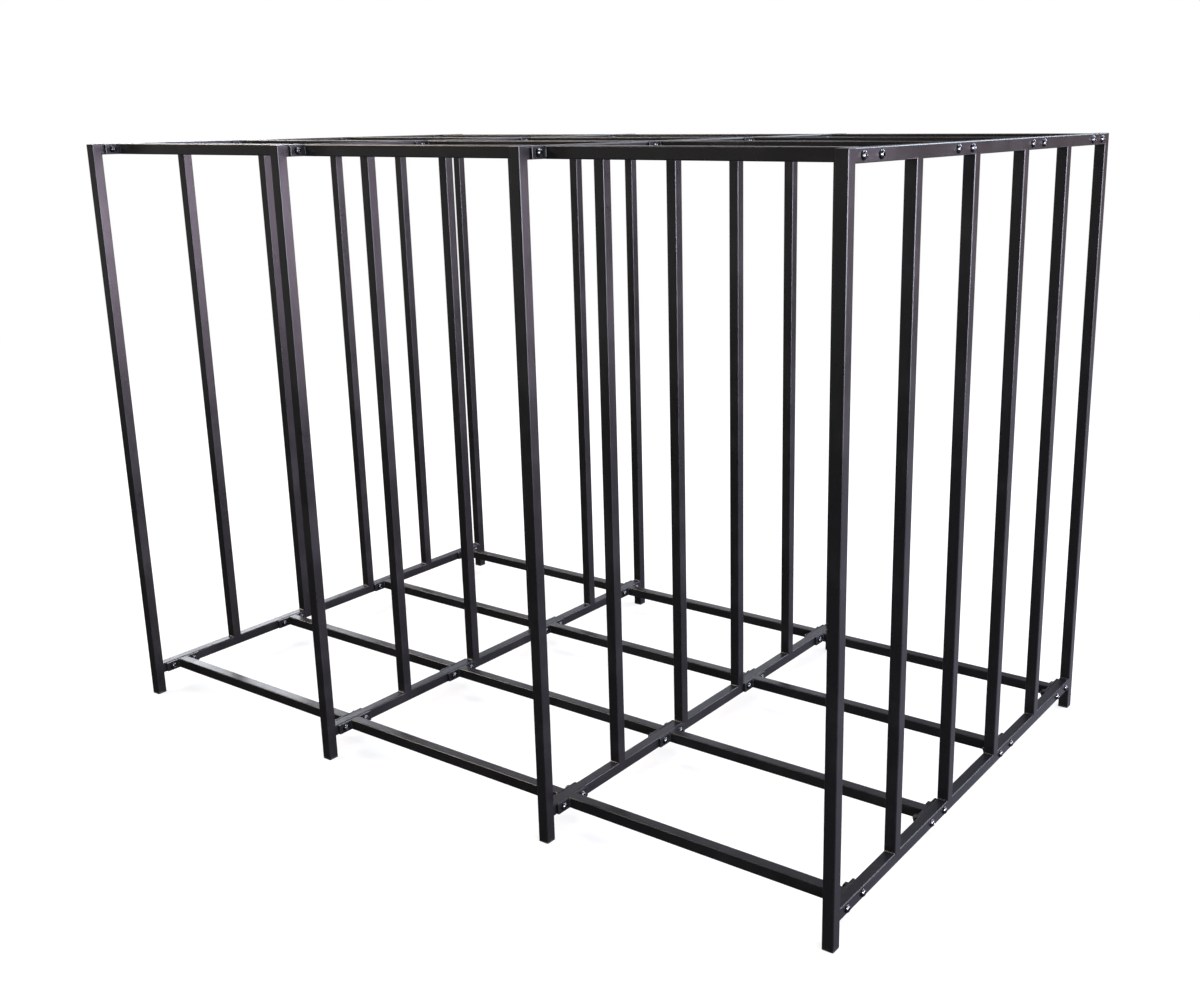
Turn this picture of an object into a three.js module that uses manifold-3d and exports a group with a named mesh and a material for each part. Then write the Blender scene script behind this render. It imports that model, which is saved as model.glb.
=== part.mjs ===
// Firewood log rack: four welded ladder panels of square steel tube, joined by cross rails.
// The rails run at the bottom and at the top of three equal bays. Each rail has a flat plate
// welded across both ends, and each plate is bolted to a panel with two button-head bolts.
//
// Millimetres, +Z up. X runs along the row of panels, Y from the front to the rear.
// The origin is on the floor, in the middle of the rack.

import * as THREE from 'three';
import { mergeVertices } from 'three/addons/utils/BufferGeometryUtils.js';
import Module from 'manifold-3d';

// Overall sizes
const rackDepth = 1020; // front of the front legs to the back of the rear legs
const rackHeight = 1150; // floor to the top of the panels
const panelPitch = 547; // centre to centre of neighbouring panels
const floorGap = 44; // floor to the underside of the bottom rails
const panelCount = 4;
const uprightCount = 4; // uprights between the two legs of a panel
const stationCount = 4; // cross rails side by side at each level of a bay

// Square tube
const tubeWidth = 20;
const tubeWall = 1.5;
const tubeCorner = 2; // outside corner radius
const ventDiameter = 6; // hidden vents that join the tube hollows

// Rail end plates
const plateLength = 80;
const plateInset = 0.5; // its long edges sit this far inside the faces of the rail
const plateThickness = 4;
const plateCorner = 2;
const plateToLeg = 5.5; // clear space between the outermost plates and the legs

// Bolts and nuts, M8
const boltSpacing = 50; // between the two bolts of a plate
const boltDiameter = 8;
const holeClearance = 0.8; // on the diameter
const headDiameter = 14;
const headHeight = 4.4;
const headRim = 1; // straight edge under the dome
const headTopDiameter = 8; // flat on top of the dome
const nutAcrossFlats = 13;
const nutHeight = 6.8;
const threadBeyondNut = 2;

const seatGap = 0.3; // between faces that touch

// Facets
const roundSegments = 8;
const ventSegments = 6;
const hexSides = 6;
const overcut = 1; // how far a cutting shape runs past what it cuts

// Places worked out from the sizes above
const half = tubeWidth / 2;
const bore = tubeWidth - 2 * tubeWall;
const legCentre = (rackDepth - tubeWidth) / 2;
const bottomRailCentre = floorGap + half;
const topRailCentre = rackHeight - half;
const plateHeight = tubeWidth - 2 * plateInset;
const plateOffset = half + seatGap + plateThickness / 2; // panel centre to plate centre, along X
const endStation = legCentre - half - plateToLeg - plateLength / 2;
const outerGrip = tubeWidth + seatGap + plateThickness; // an outer panel and one plate
const innerGrip = outerGrip + seatGap + plateThickness; // an inner panel and two plates

const panelX = (panel) => (panel - (panelCount + 1) / 2) * panelPitch;
const uprightY = (index) => -legCentre + (2 * legCentre * index) / (uprightCount + 1);
const stationY = (station) => -endStation + (2 * endStation * (station - 1)) / (stationCount - 1);
const count = (last) => Array.from({ length: last }, (_, i) => i + 1);
const levels = [
  { name: 'bottom', z: bottomRailCentre },
  { name: 'top', z: topRailCentre },
];

// Joining and cutting

const wasm = await Module();
wasm.setup();

function solid(geometry) {
  const bare = geometry.clone();
  bare.deleteAttribute('normal');
  bare.deleteAttribute('uv');
  const merged = mergeVertices(bare, 1e-4);
  return new wasm.Manifold(
    new wasm.Mesh({
      numProp: 3,
      vertProperties: merged.getAttribute('position').array,
      triVerts: new Uint32Array(merged.index.array),
    }),
  );
}

function geometryOf(body) {
  const mesh = body.getMesh();
  const geometry = new THREE.BufferGeometry();
  geometry.setAttribute('position', new THREE.BufferAttribute(mesh.vertProperties, 3));
  geometry.setIndex(new THREE.BufferAttribute(mesh.triVerts, 1));
  const faceted = geometry.toNonIndexed();
  faceted.computeVertexNormals();
  return faceted;
}

const joined = (bodies) => bodies.reduce((all, body) => all.add(body));
const without = (body, cutters) => body.subtract(joined(cutters));

// Basic shapes

// A rectangle in the plane of the first two axes, centred on the origin. Each round corner is
// one flat that touches its arc halfway round.
function roundedRectangle(width, height, radius) {
  const x = width / 2;
  const y = height / 2;
  const cut = radius * (2 - Math.SQRT2);
  const corners = [
    [x, y - cut],
    [x - cut, y],
    [cut - x, y],
    [-x, y - cut],
    [-x, cut - y],
    [cut - x, -y],
    [x - cut, -y],
    [x, cut - y],
  ];
  return new THREE.Shape(corners.map(([u, v]) => new THREE.Vector2(u, v)));
}

// Turns a shape that was made along +Z, centred on its length, to lie along an axis.
const turn = {
  x: (geometry) => geometry.rotateY(Math.PI / 2),
  y: (geometry) => geometry.rotateX(-Math.PI / 2),
  z: (geometry) => geometry,
};

function bar(length, axis, centre) {
  const geometry = new THREE.ExtrudeGeometry(roundedRectangle(tubeWidth, tubeWidth, tubeCorner), {
    depth: length,
    bevelEnabled: false,
  });
  return solid(turn[axis](geometry.translate(0, 0, -length / 2)).translate(...centre));
}

function hollow(length, axis, centre) {
  const geometry = new THREE.BoxGeometry(bore, bore, length);
  return solid(turn[axis](geometry).translate(...centre));
}

function rod(diameter, length, axis, centre, segments = roundSegments) {
  const geometry = new THREE.CylinderGeometry(diameter / 2, diameter / 2, length, segments);
  return solid(turn[axis](geometry.rotateX(Math.PI / 2)).translate(...centre));
}

const holeAt = (centre, length) => rod(boltDiameter + holeClearance, length, 'x', centre);

// The two bolt places of one joint, as distances along Y from the rail's centre line.
const boltOffsets = [-boltSpacing / 2, boltSpacing / 2];

// Welded ladder panel: two legs, two rails and the uprights between them, all hollow.
function ladderPanel() {
  const legs = [-legCentre, legCentre];
  const uprights = count(uprightCount).map(uprightY);
  const railHeights = levels.map((level) => level.z);
  const railSpan = 2 * legCentre;
  const uprightMiddle = (bottomRailCentre + topRailCentre) / 2;
  const uprightSpan = topRailCentre - bottomRailCentre;

  const outside = joined([
    ...legs.map((y) => bar(rackHeight, 'z', [0, y, rackHeight / 2])),
    ...railHeights.map((z) => bar(railSpan, 'y', [0, 0, z])),
    ...uprights.map((y) => bar(uprightSpan, 'z', [0, y, uprightMiddle])),
  ]);
  const hollows = [
    ...legs.map((y) => hollow(rackHeight - 2 * tubeWall, 'z', [0, y, rackHeight / 2])),
    ...railHeights.map((z) => hollow(railSpan - tubeWidth, 'y', [0, 0, z])),
    ...uprights.map((y) => hollow(uprightSpan - tubeWidth, 'z', [0, y, uprightMiddle])),
  ];
  // The bottom rail's hollow is joined to the hollow of each leg and upright.
  const ventTop = bottomRailCentre + half;
  const vents = [
    rod(ventDiameter, railSpan, 'y', [0, 0, bottomRailCentre], ventSegments),
    ...uprights.map((y) => rod(ventDiameter, tubeWidth, 'z', [0, y, ventTop], ventSegments)),
  ];
  const boltHoles = levels.flatMap((level) =>
    count(stationCount).flatMap((station) =>
      boltOffsets.map((offset) =>
        holeAt([0, stationY(station) + offset, level.z], tubeWidth + 2 * overcut),
      ),
    ),
  );
  return without(outside, [...hollows, ...vents, ...boltHoles]);
}

// Cross rail: a tube along X with a plate welded across each end.
function crossRail() {
  const tubeLength = panelPitch - 2 * (plateOffset + plateThickness / 2);
  const plateX = tubeLength / 2 + plateThickness / 2;
  const plate = (x) => {
    const geometry = new THREE.ExtrudeGeometry(roundedRectangle(plateHeight, plateLength, plateCorner), {
      depth: plateThickness,
      bevelEnabled: false,
    });
    return solid(turn.x(geometry.translate(0, 0, -plateThickness / 2)).translate(x, 0, 0));
  };
  const ends = [-plateX, plateX];
  const cutLength = plateThickness + 2 * overcut;
  return without(joined([bar(tubeLength + plateThickness, 'x', [0, 0, 0]), ...ends.map(plate)]), [
    hollow(tubeLength, 'x', [0, 0, 0]),
    rod(ventDiameter, cutLength, 'x', [-plateX, 0, 0], ventSegments),
    ...ends.flatMap((x) => boltOffsets.map((offset) => holeAt([x, offset, 0], cutLength))),
  ]);
}

// Button-head bolt with its nut screwed on. The head's seat is at x = 0 and faces -X.
function boltWithNut(grip) {
  const nutSeat = -grip - 2 * seatGap;
  const tip = nutSeat - nutHeight - threadBeyondNut;
  const domeRise = headHeight - headRim;
  const domeInset = (headDiameter - headTopDiameter) / 2;
  const profile = [
    new THREE.Vector2(0, tip),
    new THREE.Vector2(boltDiameter / 2, tip),
    new THREE.Vector2(boltDiameter / 2, 0),
    new THREE.Vector2(headDiameter / 2, 0),
    new THREE.Vector2(headDiameter / 2, headRim),
    new THREE.Vector2(
      headTopDiameter / 2 + domeInset * Math.SQRT1_2,
      headRim + domeRise * Math.SQRT1_2,
    ),
    new THREE.Vector2(headTopDiameter / 2, headHeight),
    new THREE.Vector2(0, headHeight),
  ];
  // The lathe turns about Y, and its top is brought round to face +X.
  const bolt = solid(new THREE.LatheGeometry(profile, roundSegments).rotateZ(-Math.PI / 2));
  const acrossCorners = nutAcrossFlats / Math.cos(Math.PI / 6);
  const nutMiddle = nutSeat - nutHeight / 2;
  return bolt.add(rod(acrossCorners, nutHeight, 'x', [nutMiddle, 0, 0], hexSides));
}

// Assembly

const rack = new THREE.Group();

function place(name, geometry, finish, position) {
  const mesh = new THREE.Mesh(geometry, new THREE.MeshStandardMaterial(finish));
  mesh.name = name;
  mesh.position.set(...position);
  rack.add(mesh);
}

const blackCoat = { color: 0x242326, roughness: 0.42, metalness: 0.1 };
const blackFastener = { color: 0x19191b, roughness: 0.3, metalness: 0.6 };

const panelGeometry = geometryOf(ladderPanel());
for (const panel of count(panelCount)) {
  place(`ladder_panel_${panel}`, panelGeometry.clone(), blackCoat, [panelX(panel), 0, 0]);
}

const railGeometry = geometryOf(crossRail());
for (const bay of count(panelCount - 1)) {
  const x = (panelX(bay) + panelX(bay + 1)) / 2;
  for (const level of levels) {
    for (const station of count(stationCount)) {
      const name = `${level.name}_rail_bay${bay}_${station}`;
      place(name, railGeometry.clone(), blackCoat, [x, stationY(station), level.z]);
    }
  }
}

// One bolt of each joint's pair is here, the front one. The heads all face +X.
// An end panel has a plate on its inner side only, so its bolts clamp one plate.
function boltPlace(panel) {
  if (panel === panelCount) return { grip: outerGrip, seat: half + seatGap };
  const seat = plateOffset + plateThickness / 2 + seatGap;
  return { grip: panel === 1 ? outerGrip : innerGrip, seat };
}

for (const panel of count(panelCount)) {
  const { grip, seat } = boltPlace(panel);
  const boltGeometry = geometryOf(boltWithNut(grip));
  for (const level of levels) {
    for (const station of count(stationCount)) {
      const name = `bolt_panel${panel}_${level.name}_${station}`;
      const y = stationY(station) + boltOffsets[0];
      place(name, boltGeometry.clone(), blackFastener, [panelX(panel) + seat, y, level.z]);
    }
  }
}

export default rack;
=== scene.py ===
"""Firewood log rack: black powder-coated ladder panels, cross rails, button-head bolts and nuts.

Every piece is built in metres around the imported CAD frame. Panels, rails and front bolts stand
for the CAD node of the same name, and a front nut stands for its bolt's node. Rear bolts and
nuts stand for none. X runs along the row of panels, Y from front to rear, and Z is up.
"""

import math

import bmesh
import bpy
from mathutils import Matrix, Vector


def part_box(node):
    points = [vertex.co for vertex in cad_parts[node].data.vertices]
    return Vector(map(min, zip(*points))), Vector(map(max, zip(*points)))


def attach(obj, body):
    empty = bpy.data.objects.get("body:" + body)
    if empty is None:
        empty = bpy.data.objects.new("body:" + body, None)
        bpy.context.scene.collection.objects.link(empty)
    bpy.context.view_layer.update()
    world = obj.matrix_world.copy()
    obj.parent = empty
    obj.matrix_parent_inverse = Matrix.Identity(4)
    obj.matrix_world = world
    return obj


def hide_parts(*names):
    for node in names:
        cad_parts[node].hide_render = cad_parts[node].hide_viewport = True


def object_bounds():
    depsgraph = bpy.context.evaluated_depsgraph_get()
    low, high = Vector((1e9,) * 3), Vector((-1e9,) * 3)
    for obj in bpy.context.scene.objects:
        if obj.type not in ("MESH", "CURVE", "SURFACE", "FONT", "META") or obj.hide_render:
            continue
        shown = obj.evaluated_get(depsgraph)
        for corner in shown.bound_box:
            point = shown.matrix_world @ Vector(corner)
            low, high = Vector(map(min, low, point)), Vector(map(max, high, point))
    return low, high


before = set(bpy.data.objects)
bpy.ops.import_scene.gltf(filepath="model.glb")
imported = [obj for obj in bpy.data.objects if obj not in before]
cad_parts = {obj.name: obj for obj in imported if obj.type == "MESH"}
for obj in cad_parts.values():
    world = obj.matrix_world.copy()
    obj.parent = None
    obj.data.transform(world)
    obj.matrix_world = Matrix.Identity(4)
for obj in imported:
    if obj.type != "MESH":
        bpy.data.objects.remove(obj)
cad_low, cad_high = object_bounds()

BODY = "root"
MM = 0.001
QUARTER = math.radians(90)

# Square tube
TUBE_WALL = 1.5 * MM
TUBE_CORNER = 2 * MM
BORE_CORNER = TUBE_WALL / 3
CORNER_STEPS = 5
UPRIGHTS = 4  # between the two legs of a panel
LEG_END_ROUND = 0.7 * MM
VENT_RADIUS = 3 * MM
END_STEPS = 3  # of a softened end

# Rail end plates
PLATE_THICKNESS = 4 * MM
PLATE_INSET = 0.5 * MM  # the plate's long edges sit this far inside the faces of the tube
PLATE_CORNER = 2 * MM
PLATE_EDGE_ROUND = 0.5 * MM

# Weld beads
BEAD_RADIUS = 3.2 * MM
BEAD_DEPTH = 1.2 * MM  # how far the bead's axis lies inside each of the two faces it joins
BEAD_RIPPLE = 0.16 * MM
BEAD_PITCH = 2.1 * MM
BEAD_BOW = 0.8 * MM  # how far each ripple curves along the bead
BEAD_TIP = 0.02  # square of the share of its radius that a bead keeps at its ends
BEAD_SIDES = 16
BEAD_STEP = 0.35 * MM

# Bolts and nuts, M8
BOLT_RADIUS = 4 * MM
HOLE_RADIUS = 4.4 * MM
TIP_TAPER = 0.7 * MM
HEAD_RADIUS = 7 * MM
HEAD_HEIGHT = 4.4 * MM
HEAD_EDGE = 0.25 * MM  # chamfer round the seat
HEAD_RIM = 1 * MM  # straight edge under the dome
HEAD_TOP_RADIUS = 3.6 * MM  # flat on top of the dome
SOCKET_FLATS = 5 * MM
SOCKET_DEPTH = 2.6 * MM
SOCKET_EDGE = 0.3 * MM
SOCKET_POINT = SOCKET_FLATS / 8  # radius and depth of the drill mark in the socket
NUT_FLATS = 13 * MM
NUT_HEIGHT = 6.8 * MM
NUT_FACE_RADIUS = 0.47 * NUT_FLATS
NUT_CHAMFER = math.radians(30)
NUT_MOUTH = BOLT_RADIUS + 0.4 * MM
NUT_BORE = BOLT_RADIUS + 0.05 * MM
THREAD_PITCH = 1.25 * MM
THREAD_DEPTH = 0.65 * MM
THREAD_BEYOND_NUT = 2 * MM
THREAD_INSIDE_NUT = NUT_HEIGHT / 4  # as far as the thread is cut, out of sight
BOLT_TURN = math.radians(137.5)  # from one bolt to the next, so that no two neighbours match
SEAT_GAP = 0.3 * MM  # the CAD's gap between faces that touch
CONTACT = 0.04 * MM  # what is left of that gap under a head or a nut
ROUND_STEPS = 30
DOME_STEPS = 7
THREAD_STEPS = 6  # rings in each turn of the thread

# Overlap of shapes that are joined or cut
OVERCUT = 1 * MM

# Shading
SHARP_ANGLE = math.radians(32)  # an edge between faces that turn further stays crisp
FACE_WEIGHT = 100  # above 50, large faces decide the shading of the soft edges beside them

# Powder coat. Noise scales are in cells per metre, and relief is in metres.
COAT_COLOUR = (0.006, 0.0057, 0.0063)
WORN_COLOUR = (0.09, 0.088, 0.09)
COAT_SPECULAR = 0.48
MARKS = {"scale": 9.0, "detail": 5.0, "roughness": 0.62}
SMUDGED_MARKS = (0.46, 0.68)  # noise values from clean to smudged
SMUDGE_LIGHTENING = 1.5
ROUGHENED_MARKS = (0.3, 0.75)
COAT_ROUGHNESS = (0.24, 0.34)
SCUFF_HEIGHTS = (0.0, 0.006)  # from full scuffs to none, above the floor
SCRATCHES = {"scale": 420.0, "detail": 3.0}
SCRATCHED = (0.5, 0.62)  # noise values from whole to scratched
SCUFF_ROUGHNESS = 0.2
PEEL = {"scale": 320.0, "detail": 1.0}
PEEL_STRENGTH = 0.22
PEEL_RELIEF = 0.25 * MM
GRAIN = {"scale": 1500.0}
GRAIN_ROUGHNESS = 0.06
GRAIN_STRENGTH = 0.12
GRAIN_RELIEF = 0.08 * MM

# Black oxide steel
OXIDE_COLOUR = (0.12, 0.118, 0.122)
OIL_FILM = {"scale": 260.0, "detail": 4.0}
OILED = (0.35, 0.7)  # noise values from the smoothest film to the driest
OXIDE_ROUGHNESS = (0.22, 0.36)
TOOL_MARKS = {"scale": 2600.0, "detail": 2.0}
TOOL_STRENGTH = 0.15
TOOL_RELIEF = 0.05 * MM

NONE_TO_ALL = (0.0, 1.0)
ALL_TO_NONE = (1.0, 0.0)

# Camera: millimetres for the sensor and the lens, metres for its place, degrees for its turns
SENSOR_WIDTH = 36
LENS = 39.989
CAMERA_SHIFT = (-0.0688, -0.0307)
CAMERA_PLACE = (1.6363, -2.0278, 1.1945)
CAMERA_TURNS = (75.166, 0.683, 34.865)

# Floor
FLOOR_RADIUS = 40.0
FLOOR_STEPS = 96
PAPER_COLOUR = (0.8, 0.8, 0.8)
PAPER_ROUGHNESS = 0.95
GLOW_REACH = (1.5, 7.0)  # distances from the rack's middle, near and far
GLOW_SHARE = (0.68, 1.0)  # the backdrop's share of the floor's look, near and far

# Light from above
OVERHEAD_PLACE = (0.3, 0.6, 3.0)
OVERHEAD_ANGLE = math.radians(75)
OVERHEAD_STRENGTH = 2.7

# Studio in the reflections. A height is the Z of a direction, from -1 (down) to 1 (up).
WHITE = (1.0, 1.0, 1.0)
COOL_TINT = (0.93, 0.96, 1.2)  # of the studio low down and high up
WARM_TINT = (1.22, 0.92, 0.88)  # of the studio in between
WARMING_HEIGHTS = (-0.3, 0.0)
COOLING_HEIGHTS = (0.15, 0.35)
DIMMING_HEIGHTS = (-0.35, -0.05)
DIMMED_SHARE = (1.0, 0.42)  # below and above the dimming heights
REARWARDS = (-0.087, 0.996, 0.0)
# The studio's tone by how far a direction looks to the rear, from -1 (front) to 1
REAR_TONES = (
    (-1.0, 0.03),
    (-0.3, 0.03),
    (0.3, 0.1),
    (0.6, 0.14),
    (0.72, 0.22),
    (0.8, 0.42),
    (0.9, 0.56),
    (1.0, 0.65),
)

# Softboxes: name, azimuth and elevation in degrees, distance, (width, height), radiance, colour
SOFTBOXES = (
    ("right_softbox", 24, 7.5, 7.0, (3.4, 3.0), 18.0, (1.0, 0.82, 1.04)),
    ("right_strip", -18, 4, 5.0, (1.8, 1.0), 50.0, (0.88, 0.96, 1.1)),
    ("high_softbox", 60, 28, 5.0, (2.0, 1.5), 9.5, (0.68, 0.85, 1.06)),
    ("rear_softbox", 80, 31, 5.0, (1.3, 0.8), 11.0, (0.85, 0.94, 1.05)),
    ("rear_backdrop", 130, 18, 5.5, (3.4, 1.2), 1.5, (0.93, 0.97, 1.08)),
    ("left_backdrop", 156, 15.5, 5.5, (1.8, 0.8), 10.0, (0.95, 0.98, 1.05)),
    ("left_softbox", 210, 36, 5.0, (2.4, 1.2), 26.0, (1.0, 0.86, 0.72)),
    ("front_softbox", 232, 1, 5.0, (5.0, 1.3), 0.35, WHITE),
    ("ceiling_softbox", 15, 66, 4.5, (1.6, 1.4), 14.0, (0.92, 0.97, 1.04)),
    ("high_left_softbox", 210, 72, 4.5, (2.6, 2.0), 1.5, WHITE),
)


# Meshes

def rounded_rectangle(width, height, radius, steps=CORNER_STEPS):
    """Points round a rectangle with round corners, centred on the origin, counterclockwise."""
    points = []
    for corner in range(4):
        start = QUARTER * corner
        x = (width / 2 - radius) * (1 if corner in (0, 3) else -1)
        y = (height / 2 - radius) * (1 if corner in (0, 1) else -1)
        for step in range(steps + 1):
            angle = start + QUARTER * step / steps
            points.append((x + radius * math.cos(angle), y + radius * math.sin(angle)))
    return points


def circle(radius, steps=ROUND_STEPS):
    turns = [2 * math.pi * step / steps for step in range(steps)]
    return [(radius * math.cos(turn), radius * math.sin(turn)) for turn in turns]


def loft(rings, close=False):
    """A closed mesh through rings of points with equal counts. close joins the last to the first."""
    built = bmesh.new()
    rows = [[built.verts.new(point) for point in ring] for ring in rings]
    following = rows[1:] + rows[:1] if close else rows[1:]
    for row, after in zip(rows, following):
        for index, vert in enumerate(row):
            side = (index + 1) % len(row)
            built.faces.new((vert, row[side], after[side], after[index]))
    if not close:
        built.faces.new(reversed(rows[0]))
        built.faces.new(rows[-1])
    bmesh.ops.recalc_face_normals(built, faces=built.faces)
    mesh = bpy.data.meshes.new("shape")
    built.to_mesh(mesh)
    built.free()
    return mesh


# Matrices that take a shape made along +Z to lie along an axis
ALONG = {
    "x": Matrix.Rotation(QUARTER, 4, "Y"),
    "y": Matrix.Rotation(-QUARTER, 4, "X"),
    "z": Matrix.Identity(4),
}


def prism(outline, length, axis, centre, end_round=0.0):
    """An outline along an axis. end_round softens both ends by shrinking the outline."""
    half_size = max(abs(x) for x, _ in outline)
    rounding = []
    for step in range(END_STEPS + 1 if end_round else 0):
        angle = QUARTER * step / END_STEPS
        inset = end_round * (1 - math.sin(angle))
        rounding.append((end_round * (1 - math.cos(angle)), 1 - inset / half_size))
    rounding = rounding or [(0.0, 1.0)]
    levels = [(-length / 2 + rise, share) for rise, share in rounding]
    levels += [(length / 2 - rise, share) for rise, share in reversed(rounding)]
    mesh = loft([[(x * share, y * share, z) for x, y in outline] for z, share in levels])
    mesh.transform(Matrix.Translation(centre) @ ALONG[axis])
    return mesh


def bar(length, axis, centre, end_round=0.0):
    outline = rounded_rectangle(tube_width, tube_width, TUBE_CORNER)
    return prism(outline, length, axis, centre, end_round)


def bore(length, axis, centre):
    width = tube_width - 2 * TUBE_WALL
    return prism(rounded_rectangle(width, width, BORE_CORNER, steps=1), length, axis, centre)


def rod(radius, length, axis, centre):
    return prism(circle(radius), length, axis, centre)


def bead(middle, along, out_a, out_b, length):
    """A fillet weld in the corner between two faces, which look along out_a and out_b."""
    along, out_a, out_b = Vector(along), Vector(out_a), Vector(out_b)
    axis_point = Vector(middle) - BEAD_DEPTH * (out_a + out_b)
    throat = (out_a + out_b).normalized()
    across = throat.cross(along).normalized()
    count = round(length / BEAD_STEP)
    rings = []
    for step in range(count + 1):
        place = length * (step / count - 0.5)
        to_end = length / 2 - abs(place)
        taper = math.sqrt(max(1 - max(1 - to_end / BEAD_RADIUS, 0) ** 2, BEAD_TIP))
        wave = abs(math.sin(math.pi * place / BEAD_PITCH))
        radius = taper * (BEAD_RADIUS - BEAD_RIPPLE + BEAD_RIPPLE * wave)
        ring = []
        for side in range(BEAD_SIDES):
            angle = 2 * math.pi * side / BEAD_SIDES
            spoke = math.cos(angle) * throat + math.sin(angle) * across
            bow = BEAD_BOW * (math.cos(angle) - 1) * taper
            ring.append(axis_point + along * (place + bow) + spoke * radius)
        rings.append(ring)
    return loft(rings)


def together(meshes):
    """Several meshes that don't touch, as one mesh."""
    built = bmesh.new()
    for mesh in meshes:
        built.from_mesh(mesh)
        bpy.data.meshes.remove(mesh)
    mesh = bpy.data.meshes.new("shapes")
    built.to_mesh(mesh)
    built.free()
    return mesh


def combine(base, other, operation):
    """base joined with other ("UNION") or cut by it ("DIFFERENCE")."""
    target = bpy.data.objects.new("combined", base)
    tool = bpy.data.objects.new("tool", other)
    bpy.context.scene.collection.objects.link(target)
    bpy.context.scene.collection.objects.link(tool)
    modifier = target.modifiers.new("combine", "BOOLEAN")
    modifier.solver = "MANIFOLD"
    modifier.operation = operation
    modifier.object = tool
    evaluated = target.evaluated_get(bpy.context.evaluated_depsgraph_get())
    mesh = bpy.data.meshes.new_from_object(evaluated)
    for old in (target, tool):
        data = old.data
        bpy.data.objects.remove(old)
        bpy.data.meshes.remove(data)
    return mesh


def joined(meshes):
    result = meshes[0]
    for mesh in meshes[1:]:
        result = combine(result, mesh, "UNION")
    return result


# The frame's sizes

def centre_of(node):
    low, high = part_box(node)
    return (low + high) / 2


def nodes_with(start):
    return sorted(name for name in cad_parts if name.startswith(start))


panel_names = nodes_with("ladder_panel_")
rail_names = nodes_with("bottom_rail_") + nodes_with("top_rail_")
bolt_names = nodes_with("bolt_")

panel_low, panel_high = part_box(panel_names[0])
tube_width = panel_high.x - panel_low.x
half = tube_width / 2
rack_height = panel_high.z - panel_low.z
leg_y = panel_high.y - half
bottom_z = centre_of(nodes_with("bottom_rail_")[0]).z
top_z = centre_of(nodes_with("top_rail_")[0]).z
rail_low, rail_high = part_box(rail_names[0])
rail_length = rail_high.x - rail_low.x
plate_length = rail_high.y - rail_low.y


def rail_of(bolt_name):
    """The name of a rail that the bolt's joint holds."""
    panel, level, station = bolt_name.removeprefix("bolt_panel").split("_")
    bay = min(int(panel), len(panel_names) - 1)
    return f"{level}_rail_bay{bay}_{station}"


def bolt_offsets():
    """The two bolt places of a joint, along Y from its rail's centre line."""
    name = bolt_names[0]
    offset = abs(centre_of(rail_of(name)).y - centre_of(name).y)
    return -offset, offset


# Ladder panel

def panel_mesh():
    """One ladder panel, with its middle at x = 0: tubes, welds, hollows and bolt holes."""
    legs = (-leg_y, leg_y)
    uprights = [leg_y * (2 * i / (UPRIGHTS + 1) - 1) for i in range(1, UPRIGHTS + 1)]
    middle_z = (bottom_z + top_z) / 2
    span_z = top_z - bottom_z
    outside = joined(
        [bar(rack_height, "z", (0, y, rack_height / 2), LEG_END_ROUND) for y in legs]
        + [bar(2 * leg_y, "y", (0, 0, z)) for z in (bottom_z, top_z)]
        + [bar(span_z, "z", (0, y, middle_z)) for y in uprights]
    )
    welded = combine(outside, together(panel_beads(legs, uprights)), "UNION")
    hollows = joined(
        [bore(rack_height - 2 * TUBE_WALL, "z", (0, y, rack_height / 2)) for y in legs]
        + [bore(2 * leg_y - tube_width, "y", (0, 0, z)) for z in (bottom_z, top_z)]
        + [bore(span_z - tube_width, "z", (0, y, middle_z)) for y in uprights]
        + [rod(VENT_RADIUS, 2 * leg_y, "y", (0, 0, bottom_z))]
        + [rod(VENT_RADIUS, tube_width, "z", (0, y, bottom_z + half)) for y in uprights]
    )
    hollow = combine(welded, hollows, "DIFFERENCE")
    stations = sorted({round(centre_of(name).y, 5) for name in rail_names})
    holes = together(
        [
            rod(HOLE_RADIUS, tube_width + 2 * OVERCUT, "x", (0, y + offset, z))
            for z in (bottom_z, top_z)
            for y in stations
            for offset in bolt_offsets()
        ]
    )
    return combine(hollow, holes, "DIFFERENCE")


def panel_beads(legs, uprights):
    """Fillet welds in every inner corner of a ladder panel."""
    length = tube_width - TUBE_CORNER / 2
    front, rear, down, up = (0, -1, 0), (0, 1, 0), (0, 0, -1), (0, 0, 1)
    beads = []
    for z, out_z in ((bottom_z, up), (top_z, down)):
        face_z = z + half * out_z[2]
        for y in uprights:
            beads.append(bead((0, y - half, face_z), (1, 0, 0), front, out_z, length))
            beads.append(bead((0, y + half, face_z), (1, 0, 0), rear, out_z, length))
        beads.append(bead((0, legs[0] + half, face_z), (1, 0, 0), rear, out_z, length))
        beads.append(bead((0, legs[1] - half, face_z), (1, 0, 0), front, out_z, length))
    under = bottom_z - half
    beads.append(bead((0, legs[0] + half, under), (1, 0, 0), rear, down, length))
    beads.append(bead((0, legs[1] - half, under), (1, 0, 0), front, down, length))
    return beads


# Cross rail

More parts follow.
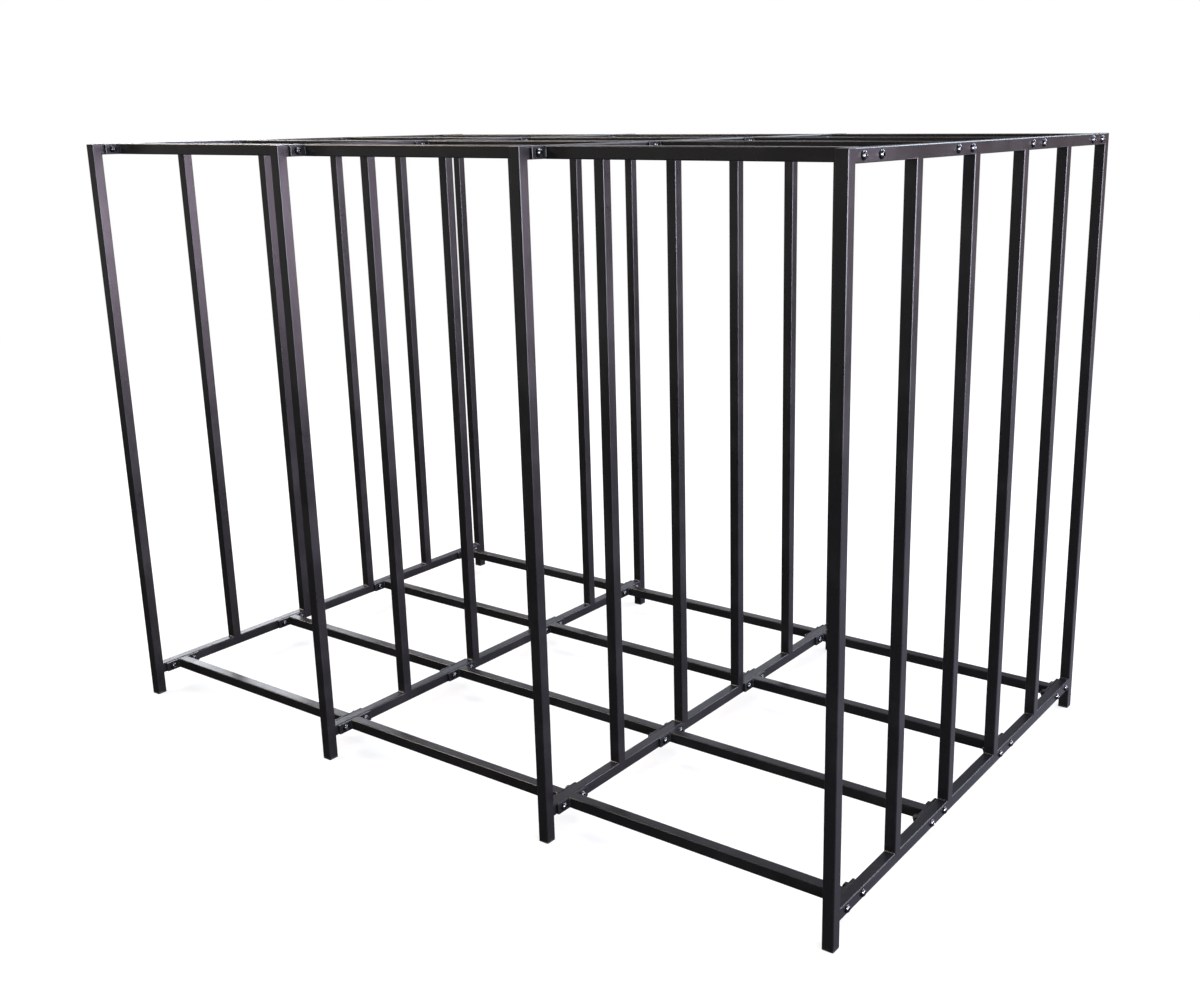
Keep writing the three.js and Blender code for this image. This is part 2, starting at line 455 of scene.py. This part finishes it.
def rail_mesh():
    """One cross rail, centred on the origin: a tube with a plate welded across each end."""
    plate_height = tube_width - 2 * PLATE_INSET
    plate_x = (rail_length - PLATE_THICKNESS) / 2
    tube_length = rail_length - 2 * PLATE_THICKNESS
    ends = (-plate_x, plate_x)
    outline = rounded_rectangle(plate_height, plate_length, PLATE_CORNER)
    plates = [prism(outline, PLATE_THICKNESS, "x", (x, 0, 0), PLATE_EDGE_ROUND) for x in ends]
    solid = joined([bar(tube_length + PLATE_THICKNESS, "x", (0, 0, 0))] + plates)
    solid = combine(solid, together(rail_beads(tube_length / 2)), "UNION")
    cut_length = PLATE_THICKNESS + 2 * OVERCUT
    vent = rod(VENT_RADIUS, cut_length, "x", (-plate_x, 0, 0))
    cuts = [combine(bore(tube_length, "x", (0, 0, 0)), vent, "UNION")]
    cuts += [rod(HOLE_RADIUS, cut_length, "x", (x, y, 0)) for x in ends for y in bolt_offsets()]
    return combine(solid, together(cuts), "DIFFERENCE")


def rail_beads(plate_face):
    """Fillet welds beside the tube, at both plates."""
    length = tube_width - 2 * PLATE_INSET - TUBE_CORNER / 2
    beads = []
    for end in (-1, 1):
        inward = (-end, 0, 0)
        for side in (-1, 1):
            place = (end * plate_face, side * half, 0)
            beads.append(bead(place, (0, 0, 1), inward, (0, side, 0), length))
    return beads


# Bolt and nut

def on_x(points, x):
    """The points of a ring in the Y-Z plane, at x."""
    return [(x, y, z) for y, z in points]


def hexagon(flats, turn):
    """Points round a hexagon, as many as a round ring has."""
    points = []
    for step in range(ROUND_STEPS):
        angle = 2 * math.pi * step / ROUND_STEPS
        to_flat = angle % math.radians(60) - math.radians(30)
        radius = flats / 2 / math.cos(to_flat)
        points.append((radius * math.cos(angle + turn), radius * math.sin(angle + turn)))
    return points


def turned(points, turn):
    """Points in the Y-Z plane, turned about the X axis."""
    cosine, sine = math.cos(turn), math.sin(turn)
    return [(y * cosine - z * sine, y * sine + z * cosine) for y, z in points]


def round_ring(radius, turn, x):
    """A round ring at x, with its first point at turn."""
    return on_x(turned(circle(radius), turn), x)


def thread_ring(x, turn):
    """A ring of the thread at x. Its height follows the helix round the ring."""
    ring = []
    for step in range(ROUND_STEPS):
        angle = 2 * math.pi * step / ROUND_STEPS
        phase = (x / THREAD_PITCH - angle / (2 * math.pi)) % 1
        radius = BOLT_RADIUS - THREAD_DEPTH * (1 - abs(2 * phase - 1))
        ring.append((x, radius * math.cos(angle + turn), radius * math.sin(angle + turn)))
    return ring


def head_dome():
    """Radius and x of each ring on a bolt head's dome, which is part of a ball."""
    rise = HEAD_HEIGHT - HEAD_RIM
    ball_x = (HEAD_TOP_RADIUS**2 + HEAD_HEIGHT**2 - HEAD_RADIUS**2 - HEAD_RIM**2) / rise / 2
    ball_radius = math.hypot(HEAD_RADIUS, HEAD_RIM - ball_x)
    low_turn = math.asin(HEAD_RADIUS / ball_radius)
    high_turn = math.asin(HEAD_TOP_RADIUS / ball_radius)
    dome = []
    for step in range(DOME_STEPS + 1):
        angle = low_turn + (high_turn - low_turn) * step / DOME_STEPS
        dome.append((ball_radius * math.sin(angle), ball_x + ball_radius * math.cos(angle)))
    return dome


def bolt_mesh(tip_x, turn):
    """A button-head bolt with its seat at x = 0 and its head towards +X."""
    rim = [(HEAD_RADIUS - HEAD_EDGE, 0.0), (HEAD_RADIUS, HEAD_EDGE)]
    socket_floor = HEAD_HEIGHT - SOCKET_DEPTH
    thread_x = tip_x + TIP_TAPER
    thread_count = round((THREAD_BEYOND_NUT + THREAD_INSIDE_NUT) / THREAD_PITCH * THREAD_STEPS)
    step_x = THREAD_PITCH / THREAD_STEPS
    rings = [round_ring(BOLT_RADIUS - TIP_TAPER, turn, tip_x)]
    rings += [thread_ring(thread_x + i * step_x, turn) for i in range(thread_count)]
    rings.append(round_ring(BOLT_RADIUS, turn, thread_x + (thread_count + 1) * step_x))
    rings.append(round_ring(BOLT_RADIUS, turn, 0.0))
    rings += [round_ring(radius, turn, x) for radius, x in rim + head_dome()]
    rings.append(on_x(hexagon(SOCKET_FLATS + 2 * SOCKET_EDGE, turn), HEAD_HEIGHT))
    rings.append(on_x(hexagon(SOCKET_FLATS, turn), HEAD_HEIGHT - SOCKET_EDGE))
    rings.append(on_x(hexagon(SOCKET_FLATS, turn), socket_floor))
    rings.append(round_ring(SOCKET_POINT, turn, socket_floor - SOCKET_POINT))
    return loft(rings)


def nut_mesh(turn):
    """A hexagon nut on the X axis, from x = 0 to -NUT_HEIGHT, with chamfered corners."""
    outline = hexagon(NUT_FLATS, turn)
    drop = [(math.hypot(y, z) - NUT_FACE_RADIUS) * math.tan(NUT_CHAMFER) for y, z in outline]
    rings = [
        round_ring(NUT_MOUTH, turn, 0.0),
        round_ring(NUT_FACE_RADIUS, turn, 0.0),
        [(-d, y, z) for d, (y, z) in zip(drop, outline)],
        [(d - NUT_HEIGHT, y, z) for d, (y, z) in zip(drop, outline)],
        round_ring(NUT_FACE_RADIUS, turn, -NUT_HEIGHT),
        round_ring(NUT_MOUTH, turn, -NUT_HEIGHT),
        round_ring(NUT_BORE, turn, NUT_MOUTH - NUT_BORE - NUT_HEIGHT),
        round_ring(NUT_BORE, turn, NUT_BORE - NUT_MOUTH),
    ]
    return loft(rings, close=True)


# Materials

def node_material(name):
    material = bpy.data.materials.new(name)
    material.use_nodes = True
    nodes, links = material.node_tree.nodes, material.node_tree.links
    return material, nodes, links, nodes["Principled BSDF"]


def noise(nodes, links, coordinates, scale, detail=2.0, roughness=0.5):
    texture = nodes.new("ShaderNodeTexNoise")
    texture.inputs["Scale"].default_value = scale
    texture.inputs["Detail"].default_value = detail
    texture.inputs["Roughness"].default_value = roughness
    links.new(coordinates, texture.inputs["Vector"])
    return texture.outputs["Fac"]


def spread(nodes, links, value, source, target):
    """value from one range to another, smoothly and held at the ends."""
    mapped = nodes.new("ShaderNodeMapRange")
    mapped.interpolation_type = "SMOOTHSTEP"
    for socket, number in zip(("From Min", "From Max", "To Min", "To Max"), source + target):
        mapped.inputs[socket].default_value = number
    links.new(value, mapped.inputs["Value"])
    return mapped.outputs["Result"]


def math_node(nodes, links, operation, *values):
    node = nodes.new("ShaderNodeMath")
    node.operation = operation
    for socket, value in zip(node.inputs, values):
        if isinstance(value, (int, float)):
            socket.default_value = value
        else:
            links.new(value, socket)
    return node.outputs[0]


def blend_colours(nodes, links, share, first, second):
    mixed = nodes.new("ShaderNodeMix")
    mixed.data_type = "RGBA"
    links.new(share, mixed.inputs["Factor"])
    for socket, value in ((mixed.inputs["A"], first), (mixed.inputs["B"], second)):
        if isinstance(value, tuple):
            socket.default_value = (*value, 1.0)
        else:
            links.new(value, socket)
    return mixed.outputs["Result"]


def bump(nodes, links, height, strength, distance, under=None):
    node = nodes.new("ShaderNodeBump")
    node.inputs["Strength"].default_value = strength
    node.inputs["Distance"].default_value = distance
    links.new(height, node.inputs["Height"])
    if under is not None:
        links.new(under, node.inputs["Normal"])
    return node.outputs["Normal"]


def powder_coat():
    """Satin black powder coat: orange peel, fine grain, faint handling marks, scuffed feet."""
    material, nodes, links, shader = node_material("black_powder_coat")
    place = nodes.new("ShaderNodeTexCoord").outputs["Object"]
    heights = nodes.new("ShaderNodeSeparateXYZ")
    links.new(place, heights.inputs[0])

    marks = noise(nodes, links, place, **MARKS)
    smudge = spread(nodes, links, marks, SMUDGED_MARKS, NONE_TO_ALL)
    grain = noise(nodes, links, place, **GRAIN)
    near_floor = spread(nodes, links, heights.outputs["Z"], SCUFF_HEIGHTS, ALL_TO_NONE)
    scratches = spread(nodes, links, noise(nodes, links, place, **SCRATCHES), SCRATCHED, NONE_TO_ALL)
    scuff = math_node(nodes, links, "MULTIPLY", near_floor, scratches)

    lighter = tuple(SMUDGE_LIGHTENING * channel for channel in COAT_COLOUR)
    mottled = blend_colours(nodes, links, smudge, COAT_COLOUR, lighter)
    links.new(blend_colours(nodes, links, scuff, mottled, WORN_COLOUR), shader.inputs["Base Color"])

    roughness = spread(nodes, links, marks, ROUGHENED_MARKS, COAT_ROUGHNESS)
    grainy = math_node(nodes, links, "MULTIPLY_ADD", grain, GRAIN_ROUGHNESS, roughness)
    scuffed = math_node(nodes, links, "MULTIPLY_ADD", scuff, SCUFF_ROUGHNESS, grainy)
    links.new(scuffed, shader.inputs["Roughness"])

    peel = bump(nodes, links, noise(nodes, links, place, **PEEL), PEEL_STRENGTH, PEEL_RELIEF)
    relief = bump(nodes, links, grain, GRAIN_STRENGTH, GRAIN_RELIEF, peel)
    links.new(relief, shader.inputs["Normal"])
    shader.inputs["Specular IOR Level"].default_value = COAT_SPECULAR
    return material


def black_oxide():
    """Black oxide steel with fine tool marks and a thin film of oil."""
    material, nodes, links, shader = node_material("black_oxide_steel")
    shader.inputs["Base Color"].default_value = (*OXIDE_COLOUR, 1.0)
    place = nodes.new("ShaderNodeTexCoord").outputs["Object"]
    film = noise(nodes, links, place, **OIL_FILM)
    links.new(spread(nodes, links, film, OILED, OXIDE_ROUGHNESS), shader.inputs["Roughness"])
    marks = noise(nodes, links, place, **TOOL_MARKS)
    links.new(bump(nodes, links, marks, TOOL_STRENGTH, TOOL_RELIEF), shader.inputs["Normal"])
    shader.inputs["Metallic"].default_value = 1.0
    return material


# Pieces

def piece(name, mesh, material, stands_for):
    """Adds a finished piece to the scene: smooth round stretches, crisp edges, flat faces."""
    mesh.name = name
    mesh.materials.clear()
    mesh.materials.append(material)
    mesh.shade_smooth()
    mesh.set_sharp_from_angle(angle=SHARP_ANGLE)
    made = bpy.data.objects.new(name, mesh)
    bpy.context.scene.collection.objects.link(made)
    shading = made.modifiers.new("flat faces stay flat", "WEIGHTED_NORMAL")
    shading.keep_sharp = True
    shading.weight = FACE_WEIGHT
    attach(made, BODY)
    if stands_for:
        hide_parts(*stands_for)


def placed(mesh, place):
    """A copy of a mesh, moved to place."""
    copy = mesh.copy()
    copy.transform(Matrix.Translation(place))
    return copy


def make_panels(material):
    mesh = panel_mesh()
    for name in panel_names:
        piece(name, placed(mesh, (centre_of(name).x, 0, 0)), material, [name])


def make_rails(material):
    mesh = rail_mesh()
    for name in rail_names:
        piece(name, placed(mesh, centre_of(name)), material, [name])


def make_bolts(material):
    """A front and a rear bolt with their nuts at each joint. The CAD holds the front ones."""
    count = 0
    for name in bolt_names:
        low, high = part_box(name)
        seat = high.x - HEAD_HEIGHT - SEAT_GAP + CONTACT
        nut_seat = low.x + THREAD_BEYOND_NUT + NUT_HEIGHT + SEAT_GAP - CONTACT
        y, z = centre_of(name).y, centre_of(name).z
        rail_y = centre_of(rail_of(name)).y
        for label, bolt_y, nodes in (("", y, [name]), ("_rear", 2 * rail_y - y, [])):
            count += 1
            bolt = placed(bolt_mesh(low.x - seat, count * BOLT_TURN), (seat, bolt_y, z))
            piece(name + label, bolt, material, nodes)
            nut = placed(nut_mesh(2 * count * BOLT_TURN), (nut_seat, bolt_y, z))
            piece(name.replace("bolt", "nut") + label, nut, material, nodes)


# Studio

def make_camera():
    data = bpy.data.cameras.new("camera")
    data.sensor_width = SENSOR_WIDTH
    data.lens = LENS
    data.shift_x, data.shift_y = CAMERA_SHIFT
    camera = bpy.data.objects.new("camera", data)
    camera.location = CAMERA_PLACE
    camera.rotation_euler = [math.radians(turn) for turn in CAMERA_TURNS]
    bpy.context.scene.collection.objects.link(camera)
    bpy.context.scene.camera = camera


def make_floor():
    """Pale, glowing paper, as white as the backdrop far away. Reflections leave it out."""
    built = bmesh.new()
    rim = [built.verts.new((x, y, cad_low.z)) for x, y in circle(FLOOR_RADIUS, FLOOR_STEPS)]
    built.faces.new(rim)
    mesh = bpy.data.meshes.new("floor")
    built.to_mesh(mesh)
    built.free()
    material, nodes, links, paper = node_material("floor_paper")
    paper.inputs["Base Color"].default_value = (*PAPER_COLOUR, 1.0)
    paper.inputs["Roughness"].default_value = PAPER_ROUGHNESS
    paper.inputs["Specular IOR Level"].default_value = 0.0
    glow = nodes.new("ShaderNodeEmission")
    glow.inputs["Color"].default_value = (*WHITE, 1.0)
    away = nodes.new("ShaderNodeVectorMath")
    away.operation = "LENGTH"
    links.new(nodes.new("ShaderNodeTexCoord").outputs["Object"], away.inputs[0])
    either = nodes.new("ShaderNodeMixShader")
    share = spread(nodes, links, away.outputs["Value"], GLOW_REACH, GLOW_SHARE)
    links.new(share, either.inputs[0])
    links.new(paper.outputs[0], either.inputs[1])
    links.new(glow.outputs[0], either.inputs[2])
    links.new(either.outputs[0], nodes["Material Output"].inputs["Surface"])
    mesh.materials.append(material)
    floor = bpy.data.objects.new("floor", mesh)
    floor.visible_glossy = False
    bpy.context.scene.collection.objects.link(floor)


def add_light(data, place, aim):
    light = bpy.data.objects.new(data.name, data)
    light.location = place
    light.rotation_euler = (Vector(aim) - Vector(place)).to_track_quat("-Z", "Y").to_euler()
    light.visible_camera = False
    bpy.context.scene.collection.objects.link(light)
    return light


def make_softbox(name, azimuth, elevation, distance, size, radiance, colour):
    """A softbox aimed at the rack. Its azimuth is counted from +X towards +Y."""
    across, rise = math.radians(azimuth), math.radians(elevation)
    level = math.cos(rise)
    back = Vector((math.cos(across) * level, math.sin(across) * level, math.sin(rise)))
    data = bpy.data.lights.new(name, "AREA")
    data.shape = "RECTANGLE"
    data.size, data.size_y = size
    data.energy = radiance * math.pi * size[0] * size[1]
    data.color = colour
    aim = (cad_low + cad_high) / 2
    add_light(data, aim + back * distance, aim)


def make_overhead():
    """Even soft light from above for the floor and the diffuse shading."""
    data = bpy.data.lights.new("overhead", "SUN")
    data.angle = OVERHEAD_ANGLE
    data.energy = OVERHEAD_STRENGTH
    light = add_light(data, OVERHEAD_PLACE, (0, 0, 0))
    light.visible_glossy = False


def make_world():
    """A white backdrop, and for the reflections a studio that is bright low down behind the rack."""
    world = bpy.data.worlds.new("studio")
    world.use_nodes = True
    nodes, links = world.node_tree.nodes, world.node_tree.links
    nodes.clear()
    direction = nodes.new("ShaderNodeTexCoord").outputs["Generated"]
    separate = nodes.new("ShaderNodeSeparateXYZ")
    links.new(direction, separate.inputs[0])
    height = separate.outputs["Z"]

    rearness = nodes.new("ShaderNodeVectorMath")
    rearness.operation = "DOT_PRODUCT"
    rearness.inputs[1].default_value = REARWARDS
    links.new(direction, rearness.inputs[0])
    along_ramp = math_node(nodes, links, "MULTIPLY_ADD", rearness.outputs["Value"], 0.5, 0.5)
    tones = nodes.new("ShaderNodeValToRGB")
    links.new(along_ramp, tones.inputs[0])
    stops = tones.color_ramp.elements
    for share, _ in REAR_TONES[1:-1]:
        stops.new((share + 1) / 2)
    for stop, (_, tone) in zip(stops, REAR_TONES):
        stop.color = (tone, tone, tone, 1.0)

    studio = nodes.new("ShaderNodeBackground")
    warmer = spread(nodes, links, height, WARMING_HEIGHTS, NONE_TO_ALL)
    cooler = spread(nodes, links, height, COOLING_HEIGHTS, NONE_TO_ALL)
    lower_tint = blend_colours(nodes, links, warmer, COOL_TINT, WARM_TINT)
    tint = blend_colours(nodes, links, cooler, lower_tint, COOL_TINT)
    links.new(tint, studio.inputs["Color"])
    dimming = spread(nodes, links, height, DIMMING_HEIGHTS, DIMMED_SHARE)
    strength = math_node(nodes, links, "MULTIPLY", tones.outputs["Color"], dimming)
    links.new(strength, studio.inputs["Strength"])

    backdrop = nodes.new("ShaderNodeBackground")
    backdrop.inputs["Color"].default_value = (*WHITE, 1.0)
    either = nodes.new("ShaderNodeMixShader")
    links.new(nodes.new("ShaderNodeLightPath").outputs["Is Camera Ray"], either.inputs[0])
    links.new(studio.outputs[0], either.inputs[1])
    links.new(backdrop.outputs[0], either.inputs[2])
    links.new(either.outputs[0], nodes.new("ShaderNodeOutputWorld").inputs["Surface"])
    bpy.context.scene.world = world


make_camera()
make_floor()
make_world()
make_overhead()
for softbox in SOFTBOXES:
    make_softbox(*softbox)
bpy.context.scene.view_settings.view_transform = "Standard"

coat = powder_coat()
make_panels(coat)
make_rails(coat)
make_bolts(black_oxide())
